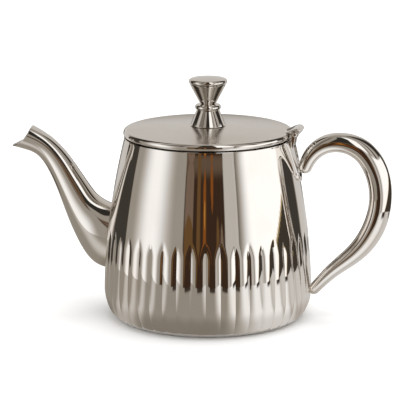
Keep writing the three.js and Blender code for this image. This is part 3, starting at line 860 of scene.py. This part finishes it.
def makeKnob():
    bore, sheet = knobValues["bore"], knobValues["sheet"]
    foot, top, radius = knobBox("knob_base")
    rim, neck = knobValues["footRim"], knobValues["neck"]
    foot -= knobValues["coneSeat"]
    outline = [(radius - rim - sheet, foot)]
    outline += arc((radius - rim / 2, foot + rim / 2), (rim / 2, rim / 2), -90, 20, 6)
    outline += [(neck + 0.15, top - 0.3), (neck - 0.1, top), (bore, top), (bore, top - sheet)]
    outline += [(neck - sheet, top - sheet), (radius - rim - sheet, foot + rim), (radius - rim - sheet, foot)]
    cone = spunPiece("knobCone", outline, 128)
    finishPiece(cone, "lid", "polished_metal", (polished,), "knob_base")

    foot, top, radius = knobBox("knob_collar")
    foot, top = foot - knobValues["beadSeat"], top + knobValues["beadSeat"]
    half = (top - foot) / 2
    outline = [(bore, foot), (radius - half, foot)]
    outline += arc((radius - half, foot + half), (half, half), -80, 80, 16)
    outline += [(radius - half, top), (bore, top), (bore, foot)]
    bead = spunPiece("knobBead", outline, 128)
    finishPiece(bead, "lid", "polished_metal", (polished,), "knob_collar")

    foot, top, radius = knobBox("knob_flare")
    waist = knobValues["waist"]
    outline = [(bore, foot), (waist - 0.2, foot), (waist, foot + 0.3)]
    outline += [(radius - 0.1, top - 0.3), (radius - 0.25, top), (radius - sheet, top)]
    outline += [(waist - 0.5, foot + sheet), (bore, foot + sheet), (bore, foot)]
    horn = spunPiece("knobHorn", outline, 128)
    finishPiece(horn, "lid", "polished_metal", (polished,), "knob_flare")

    foot, top, radius = knobBox("knob_cap")
    foot -= knobValues["capSeat"]
    rim = knobValues["capRim"]
    edge = radius - rim
    outline = arc((edge, foot + rim), (rim, rim), -80, 78, 16)
    rimTop = foot + 2 * rim - 0.04
    steps = 8
    reach = [edge * (1 - (i + 1) / steps) for i in range(steps)]
    outline += [(r, mix(top, rimTop, (r / edge) ** 2)) for r in reach]
    inner = edge - knobValues["capWall"]
    outline += [(0, top - sheet), (inner, rimTop - sheet), (inner, foot + 0.1), outline[0]]
    cap = spunPiece("knobCap", outline, 128)
    finishPiece(cap, "lid", "polished_metal", (polishedFlat,), "knob_cap")


makeKnob()

fastenerValues = {
    "stud": 2.0,
    "chamfer": 0.4,
    "head": 4.0,
    "headHeight": 2.0,
    "ringPitch": 0.7,  # shallow rings stand for the turned shank
    "ringDepth": 0.18,
    "bore": 2.3,
    "washerEdge": 0.2,
    "nut": 4.4,
    "nutEdge": 0.35,
}


def makeFasteners():
    low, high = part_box("knob_screw")
    foot, top = low.z / mm, high.z / mm
    stud, head, chamfer = [fastenerValues[name] for name in ("stud", "head", "chamfer")]
    headFoot = top - fastenerValues["headHeight"]
    outline = [(0, foot), (stud - chamfer, foot), (stud, foot + chamfer)]
    pitch = fastenerValues["ringPitch"]
    rings = int((headFoot - foot - 1) / pitch)
    for i in range(rings):
        level = foot + chamfer + (i + 0.5) * pitch
        outline += [(stud - fastenerValues["ringDepth"], level), (stud, level + pitch / 2)]
    outline += [(stud, headFoot), (head - 0.2, headFoot), (head, headFoot + 0.2)]
    outline += arc((head - 0.8, top - 0.8), (0.8, 0.8), 0, 85, 5) + [(0, top)]
    screw = spunPiece("knobScrew", outline, 48)
    finishPiece(screw, "lid", "satin_metal", (satin,), "knob_screw")

    low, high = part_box("knob_washer")
    foot, top, radius = low.z / mm, high.z / mm, high.y / mm
    bore, edge = fastenerValues["bore"], fastenerValues["washerEdge"]
    outline = [(bore, foot), (radius - edge, foot), (radius, foot + edge)]
    outline += [(radius, top - edge), (radius - edge, top), (bore, top), (bore, foot)]
    washer = spunPiece("knobWasher", outline, 64)
    finishPiece(washer, "lid", "satin_metal", (satin,), "knob_washer")

    low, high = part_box("knob_nut")
    foot, top = low.z / mm, high.z / mm
    toObjectMode()
    middle = (0, 0, (top + foot) / 2 * mm)
    bpy.ops.mesh.primitive_cylinder_add(vertices=6, radius=fastenerValues["nut"] * mm,
                                        depth=(top - foot) * mm, location=middle)
    nut = bpy.context.object
    nut.name = "knobNut"
    nut.data.name = "knobNut"
    bpy.ops.object.transform_apply(location=True, rotation=True, scale=True)
    applyModifier(nut, "BEVEL", width=fastenerValues["nutEdge"] * mm, segments=3, limit_method="ANGLE",
                  angle_limit=math.radians(40))
    bpy.ops.mesh.primitive_cylinder_add(vertices=48, radius=bore * mm,
                                        depth=(top - foot + 1) * mm, location=middle)
    cutWith(nut, bpy.context.object)
    smooth(nut, 35)
    finishPiece(nut, "lid", "satin_metal", (satin,), "knob_nut")


makeFasteners()

for node in ("handle_upper_stud", "handle_lower_stud"):
    studObject = frame["nodes"][node]
    studObject.data.materials.clear()
    studObject.data.materials.append(satin)
print("object finished")


# floor, light and camera

studioValues = {
    "world": 0.97,
    "lamp": 17,
    "lampPlace": (0.25, 0.1, 1.6),
    "lampSize": 1.6,
    "floor": (0.94, 0.94, 0.94, 1),
    "cardRadius": 0.285,
    "cameraTurn": 9.4,  # degrees round from the front, towards the handle
    "cameraRise": 12.9,
    "cameraAway": 1.4,
    "aim": 0.0672,
    "lens": 195.7,
}


def plainMaterial(name, colour, roughness):
    material = bpy.data.materials.new(name)
    material.use_nodes = True
    shader = material.node_tree.nodes["Principled BSDF"]
    shader.inputs["Base Color"].default_value = colour
    shader.inputs["Roughness"].default_value = roughness
    return material


def onlyReflected(card):
    # a card that shows in the metal and nowhere else
    card.visible_camera = False
    card.visible_diffuse = False
    card.visible_shadow = False
    card.visible_transmission = False
    card.visible_volume_scatter = False


def makeFloor():
    toObjectMode()
    bpy.ops.mesh.primitive_plane_add(size=8, location=(0, 0, -0.0001))
    floor = bpy.context.object
    floor.name = "floor"
    floor.data.materials.append(plainMaterial("paleFloor", studioValues["floor"], 0.9))


makeFloor()

# the tent round the pot: soft boards, seen only as reflections; angles run from the camera's direction,
# to the left below zero; a board is (from, to, softness of each edge, light)
tentValues = {
    "height": 0.5,
    "columns": 540,
    "rows": 100,
    "bare": 0.05,
    "boards": [
        (-98, -25, 1, 1, 0.35),  # grey wall on the left
        (-90, -35, 25, 25, 1.15),  # soft lamp against it
        (17, 32, 1, 1, 0.55),  # grey wall on the right
        (28, 100, 20, 1, 1.3),  # large soft lamp on the handle's side
        (120, 235, 5, 2, 0.65),  # pale wall behind
    ],
    "upperBare": 0.03,
    "upperBoards": [
        (-92, -35, 10, 2, 0.2),  # dim strip over the left wall
        (-90, -62, 12, 3, 0.6),
        (-35, -12, 5, 2, 0.35),
        (10, 35, 2, 2, 1.25),  # bright panel that the knob and the spout catch
        (35, 62, 1, 2, 0.35),
        (47, 59, 2, 2, 0.6),
        (65, 92, 8, 8, 0.45),
        (118, 240, 25, 25, 0.6),
    ],
    "upperFrom": (0.18, 0.20),
    "ceiling": 0.34,
    "ceilingReach": (0.19, 0.06),  # the boards' pattern carries on over the ceiling and fades to its middle
    "doorway": (58, 100, 0.11),  # dark, on the handle's side: from, to, and how high its sloping top rises
    "doorwayColour": (0.055, 0.045, 0.035),
    "doorwayEdge": (0.55, 0.40, 0.18),
    "front": (-25, 17),  # the dark gap that faces the camera
    "frontColour": (0.045, 0.025, 0.015),
    "frontTop": (0.142, 0.160),
    "frontTopColour": (0.13, 0.09, 0.06),
    "backBand": (152, 0.13, 0.16),  # a low dark band behind, which draws the thin dark edges
}
umber = (0.2, 0.14, 0.1)
brown = (0.15, 0.08, 0.03)
amber = (0.25, 0.08, 0.015)
gold = (0.6, 0.32, 0.06)
# warm upright streaks in the dark front, glowing on the card and seen in the metal as painted reflections:
# angle, half width, foot, tip, colour
streaks = [
    (-20, 4.5, 0.00, 0.17, umber),
    (-20, 4.5, 0.00, 0.10, brown),
    (-10, 2.0, 0.03, 0.19, brown),
    (-3.5, 1.5, 0.03, 0.16, amber),
    (-3.5, 0.7, 0.08, 0.12, gold),
    (4.5, 1.5, 0.10, 0.17, amber),
    (10, 1.5, 0.02, 0.10, brown),
    (14, 1.5, 0.03, 0.09, umber),
]


def boardLight(boards, bare, angle):
    # the boards hang one over another, and one may run on past the back
    light = bare
    for low, high, softLow, softHigh, level in boards:
        share = max(ease(low, low + softLow, turned) * ease(high, high - softHigh, turned)
                    for turned in (angle, angle + 360))
        light = mix(light, level, share)
    return light


def warmth(light):
    # dim boards are warmer than bright ones
    tone = ease(0.9, 0.1, light)
    return light * (1 + 0.10 * tone), light * (1 - 0.02 * tone), light * (1 - 0.17 * tone)


def blend(first, second, share):
    return tuple(mix(a, b, share) for a, b in zip(first, second))


def upperColour(angle):
    return warmth(boardLight(tentValues["upperBoards"], tentValues["upperBare"], angle))


def tentColour(angle, height):
    colour = warmth(boardLight(tentValues["boards"], tentValues["bare"], angle))
    frontLow, frontHigh = tentValues["front"]
    if frontLow < angle < frontHigh:
        colour = blend(tentValues["frontColour"], tentValues["frontTopColour"],
                       ease(*tentValues["frontTop"], height))
        for middle, half, foot, tip, streak in streaks:
            taper = min(1, max(0, (tip - height) / 0.022)) * min(1, max(0, (height - foot) / 0.03))
            inside = half * taper ** 0.6 - abs(angle - middle)
            colour = blend(colour, streak, ease(-0.15, 0.35, inside))
    doorLow, doorHigh, doorTop = tentValues["doorway"]
    if doorLow < angle < doorHigh:
        under = doorTop * (angle - doorLow) / (doorHigh - doorLow) - height
        colour = blend(colour, tentValues["doorwayEdge"], ease(-0.002, 0.001, under))
        colour = blend(colour, tentValues["doorwayColour"], ease(0.004, 0.008, under))
    bandEdge, bandTop, bandLight = tentValues["backBand"]
    if abs(angle) > bandEdge - 8:
        share = ease(bandEdge - 8, bandEdge + 4, abs(angle)) * ease(bandTop + 0.012, bandTop, height)
        colour = blend(colour, warmth(bandLight), share * ease(0.02, 0.035, height))
    return blend(colour, upperColour(angle), ease(*tentValues["upperFrom"], height))


def ceilingColour(point):
    outer, inner = tentValues["ceilingReach"]
    middle = 1 - ease(inner, outer, math.hypot(point.x, point.y))
    return blend(upperColour(cameraAngle(point)), warmth(tentValues["ceiling"]), middle)


def lightCard(name, card, colourAt, spread=0.01):
    # the card glows with a colour of its own at each point, broken up a little as cloth and wood are
    card.name = name
    layer = card.data.color_attributes.new("glow", "FLOAT_COLOR", "POINT")
    for vertex in card.data.vertices:
        layer.data[vertex.index].color = (*colourAt(vertex.co), 1)
    material = bpy.data.materials.new(name)
    material.use_nodes = True
    nodes, links = material.node_tree.nodes, material.node_tree.links
    nodes.clear()
    glow = nodes.new("ShaderNodeEmission")
    stored = nodes.new("ShaderNodeAttribute")
    stored.attribute_name = "glow"
    coords = nodes.new("ShaderNodeTexCoord")
    mapping = nodes.new("ShaderNodeMapping")
    mapping.inputs["Scale"].default_value = (1, 1, 0.12)
    noise = nodes.new("ShaderNodeTexNoise")
    noise.inputs["Scale"].default_value = 170
    noise.inputs["Detail"].default_value = 4
    broken = nodes.new("ShaderNodeMapRange")
    broken.inputs["From Min"].default_value = 0.35
    broken.inputs["From Max"].default_value = 0.65
    broken.inputs["To Min"].default_value = 1 - spread
    broken.inputs["To Max"].default_value = 1 + spread
    output = nodes.new("ShaderNodeOutputMaterial")
    links.new(coords.outputs["Object"], mapping.inputs["Vector"])
    links.new(mapping.outputs["Vector"], noise.inputs["Vector"])
    links.new(noise.outputs["Fac"], broken.inputs["Value"])
    links.new(broken.outputs["Result"], glow.inputs["Strength"])
    links.new(stored.outputs["Color"], glow.inputs["Color"])
    links.new(glow.outputs["Emission"], output.inputs["Surface"])
    card.data.materials.append(material)
    onlyReflected(card)


def cameraAngle(point):
    angle = math.degrees(math.atan2(point.x, -point.y)) - studioValues["cameraTurn"]
    return (angle + 180) % 360 - 180


def makeTent():
    radius = studioValues["cardRadius"] / mm
    high = tentValues["height"] / mm

    def place(u, w):
        angle = 2 * math.pi * u
        return radius * math.sin(angle), radius * math.cos(angle), w * high

    tent = shapedGrid("tent", tentValues["columns"], tentValues["rows"], place)
    lightCard("tent", tent, lambda point: tentColour(cameraAngle(point), point.z))

    def overhead(u, w):
        angle = 2 * math.pi * u
        return w * radius * math.sin(angle), w * radius * math.cos(angle), high

    lightCard("tentCeiling", shapedGrid("tentCeiling", 360, 24, overhead), ceilingColour)


makeTent()

# a glowing card just above the floor, seen only as reflections: it paints what the lower lobes and the
# underside of the spout see of the table, with pools of light as the boards are and a painted shadow round
# the foot
tableValues = {
    "bare": 0.32,
    "pools": [
        (-85, -40, 20, 20, 0.65),
        (5, 80, 35, 25, 1.05),
        (65, 160, 15, 20, 0.7),
        (150, 240, 20, 25, 0.55),
    ],
    "darkEdge": [(-17, 17), (44, 68), (96, 112), (-126, -102)],
    "darkFrom": (0.232, 0.256),
    "height": 0.4,
}


def tableColour(point):
    reach = math.hypot(point.x, point.y)
    light = boardLight(tableValues["pools"], tableValues["bare"], cameraAngle(point))
    # painted shadow round the foot: the card's glow is dimmed where it comes close to the pot
    near = mix(0.72, 1, ease(0.062, 0.095, reach))
    colour = warmth(light * near)
    for low, high in tableValues["darkEdge"]:
        # the dark boards show in the table too, near its edge
        inside = ease(low, low + 4, cameraAngle(point)) * ease(high, high - 4, cameraAngle(point))
        colour = blend(colour, (0.05, 0.038, 0.028), inside * ease(*tableValues["darkFrom"], reach))
    return colour


def makeTable():
    radius = studioValues["cardRadius"] / mm
    inner = bellyRadius - 5

    def place(u, w):
        angle = 2 * math.pi * u
        reach = mix(inner, radius, w)
        return reach * math.sin(angle), reach * math.cos(angle), tableValues["height"]

    lightCard("tableGlow", shapedGrid("tableGlow", 180, 20, place), tableColour)


makeTable()


def makeWorld():
    world = bpy.data.worlds.new("paleStudio")
    world.use_nodes = True
    background = world.node_tree.nodes["Background"]
    background.inputs["Color"].default_value = (1.0, 1.0, 0.995, 1)
    background.inputs["Strength"].default_value = studioValues["world"]
    bpy.context.scene.world = world
    toObjectMode()
    bpy.ops.object.light_add(type="AREA", location=studioValues["lampPlace"])
    lamp = bpy.context.object
    lamp.name = "overheadSoftbox"
    lamp.rotation_euler = Vector(studioValues["lampPlace"]).to_track_quat("Z", "Y").to_euler()
    lamp.data.shape = "SQUARE"
    lamp.data.size = studioValues["lampSize"]
    lamp.data.energy = studioValues["lamp"]
    lamp.visible_glossy = False


makeWorld()


def makeCamera():
    turn = math.radians(studioValues["cameraTurn"])
    rise = math.radians(studioValues["cameraRise"])
    back = Vector((math.sin(turn) * math.cos(rise), -math.cos(turn) * math.cos(rise), math.sin(rise)))
    aim = Vector((0, 0, studioValues["aim"]))
    bpy.ops.object.camera_add(location=aim + back * studioValues["cameraAway"])
    camera = bpy.context.object
    camera.rotation_euler = back.to_track_quat("Z", "Y").to_euler()
    camera.data.lens = studioValues["lens"]
    camera.data.sensor_width = 36
    camera.data.clip_end = 50
    bpy.context.scene.camera = camera
    bpy.context.scene.view_settings.view_transform = "Standard"


makeCamera()
print("studio finished")
